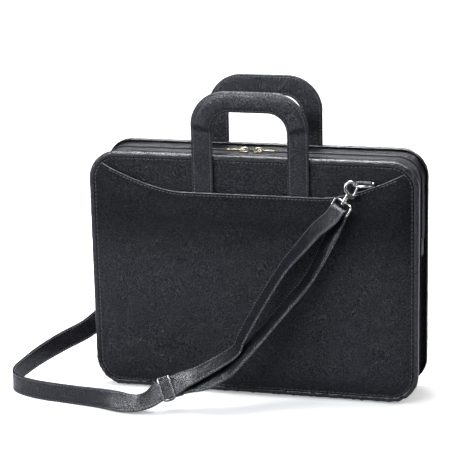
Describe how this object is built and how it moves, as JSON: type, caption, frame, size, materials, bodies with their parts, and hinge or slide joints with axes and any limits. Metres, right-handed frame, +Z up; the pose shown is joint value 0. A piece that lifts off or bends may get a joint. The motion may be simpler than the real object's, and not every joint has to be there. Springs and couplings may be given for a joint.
{
  "type": "leather briefcase",
  "caption": "Soft zip-top leather briefcase with drop-in flat handles, curved-edge outer pockets and a clip-on shoulder strap.",
  "frame": {"origin": "middle of the base on the floor, under the zip line and halfway across the case; the shoulder strap lies off to one side", "axes": "+X to the right seen from the front, -Y out of the front panel, +Z up"},
  "size_m": [0.4995, 0.2033, 0.375],
  "materials": {
    "panel_leather": "fine pebble grain, semi-gloss, waxed",
    "edge_leather": "smooth glazed edge binding with fine wrinkles",
    "gusset_leather": "softer folded leather, satin",
    "handle_leather": "fine grain, semi-gloss, edge stitched",
    "strap_leather": "smooth semi-gloss with stitched edges",
    "board": "pressed fibre board",
    "lining_cloth": "plain woven lining",
    "zip_tape": "woven tape",
    "zip_coil": "moulded nylon coil",
    "rail_leather": "flat split leather",
    "handle_core": "flexible moulded strip",
    "plain_steel": "plain",
    "zip_metal": "pale polished plating",
    "nickel_hardware": "polished nickel plating"
  },
  "bodies": {
    "rear_shell": {"rear_cover": "panel_leather", "rear_board": "board", "rear_lining": "lining_cloth", "rear_pocket": "panel_leather", "rear_binding": "edge_leather", "rear_gusset": "gusset_leather", "rear_zip_tape": "zip_tape", "rear_zip_coil": "zip_coil", "rear_handle_rails": "rail_leather", "rear_ring_tab": "edge_leather", "rear_tab_rivet": "plain_steel", "rear_hook_swivel": "nickel_hardware", "bottom_gusset": "gusset_leather", "bottom_board": "board", "left_side_gusset": "gusset_leather", "right_side_gusset": "gusset_leather", "zip_end_tabs": "edge_leather", "inner_pocket": "lining_cloth", "strap_main": "strap_leather", "strap_tail": "strap_leather", "buckle_frame": "nickel_hardware"},
    "front_shell": {"front_cover": "panel_leather", "front_board": "board", "front_lining": "lining_cloth", "front_pocket": "panel_leather", "front_binding": "edge_leather", "front_gusset": "gusset_leather", "front_zip_tape": "zip_tape", "front_zip_coil": "zip_coil", "front_handle_rails": "rail_leather", "front_ring_tab": "edge_leather", "front_tab_rivet": "plain_steel", "front_hook_swivel": "nickel_hardware", "strap_front_loop": "strap_leather"},
    "front_handle": {"front_handle_cover": "handle_leather", "front_handle_core": "handle_core", "front_handle_stops": "plain_steel"},
    "front_ring": {"front_d_ring": "nickel_hardware"},
    "front_hook": {"front_hook_body": "nickel_hardware", "front_gate_pin": "nickel_hardware"},
    "front_gate": {"front_hook_gate": "nickel_hardware"},
    "rear_handle": {"rear_handle_cover": "handle_leather", "rear_handle_core": "handle_core", "rear_handle_stops": "plain_steel"},
    "rear_ring": {"rear_d_ring": "nickel_hardware"},
    "rear_hook": {"rear_hook_body": "nickel_hardware", "rear_gate_pin": "nickel_hardware"},
    "rear_gate": {"rear_hook_gate": "nickel_hardware"},
    "left_slider": {"left_zip_slider": "zip_metal"},
    "right_slider": {"right_zip_slider": "zip_metal"},
    "left_pull": {"left_zip_pull": "zip_metal"},
    "right_pull": {"right_zip_pull": "zip_metal"}
  },
  "joints": [
    {"name": "front_opening", "type": "hinge", "parent": "rear_shell", "child": "front_shell", "pos_m": [0, -0.036, 0.004], "axis": [1, 0, 0], "range_deg": [0, 20]},
    {"name": "front_handle_slide", "type": "slide", "parent": "front_shell", "child": "front_handle", "axis": [0, 0, 1], "range_m": [-0.072, 0]},
    {"name": "rear_handle_slide", "type": "slide", "parent": "rear_shell", "child": "rear_handle", "axis": [0, 0, 1], "range_m": [-0.072, 0]},
    {"name": "left_slider_run", "type": "slide", "parent": "rear_shell", "child": "left_slider", "axis": [1, 0, 0], "range_m": [-0.13, 0]},
    {"name": "right_slider_run", "type": "slide", "parent": "rear_shell", "child": "right_slider", "axis": [1, 0, 0], "range_m": [0, 0.145]},
    {"name": "left_pull_flip", "type": "hinge", "parent": "left_slider", "child": "left_pull", "pos_m": [-0.0165, 0, 0.2962], "axis": [0, 1, 0], "range_deg": [0, 95]},
    {"name": "right_pull_flip", "type": "hinge", "parent": "right_slider", "child": "right_pull", "pos_m": [0.0005, 0, 0.2962], "axis": [0, -1, 0], "range_deg": [0, 95]},
    {"name": "front_ring_drop", "type": "hinge", "parent": "front_shell", "child": "front_ring", "pos_m": [0.136, -0.0396, 0.271], "axis": [1, 0, 0], "range_deg": [0, 5]},
    {"name": "rear_ring_drop", "type": "hinge", "parent": "rear_shell", "child": "rear_ring", "pos_m": [-0.136, 0.0396, 0.271], "axis": [-1, 0, 0], "range_deg": [0, 5]},
    {"name": "front_hook_turn", "type": "hinge", "parent": "front_shell", "child": "front_hook", "pos_m": [0.1148, -0.0545, 0.2515], "axis": [0.4449, 0.1994, 0.8731], "range_deg": [-5, 5]},
    {"name": "rear_hook_turn", "type": "hinge", "parent": "rear_shell", "child": "rear_hook", "pos_m": [-0.1572, 0.0545, 0.2515], "axis": [0.4449, -0.1994, 0.8731], "range_deg": [-5, 5]},
    {"name": "front_gate_press", "type": "hinge", "parent": "front_hook", "child": "front_gate", "pos_m": [0.12477, -0.05251, 0.25742], "axis": [0.0905, -0.9799, 0.1776], "range_deg": [0, 8], "stiffness_Nm_per_rad": 0.002},
    {"name": "rear_gate_press", "type": "hinge", "parent": "rear_hook", "child": "rear_gate", "pos_m": [-0.14723, 0.05251, 0.25742], "axis": [-0.0905, -0.9799, -0.1776], "range_deg": [0, 8], "stiffness_Nm_per_rad": 0.002}
  ]
}
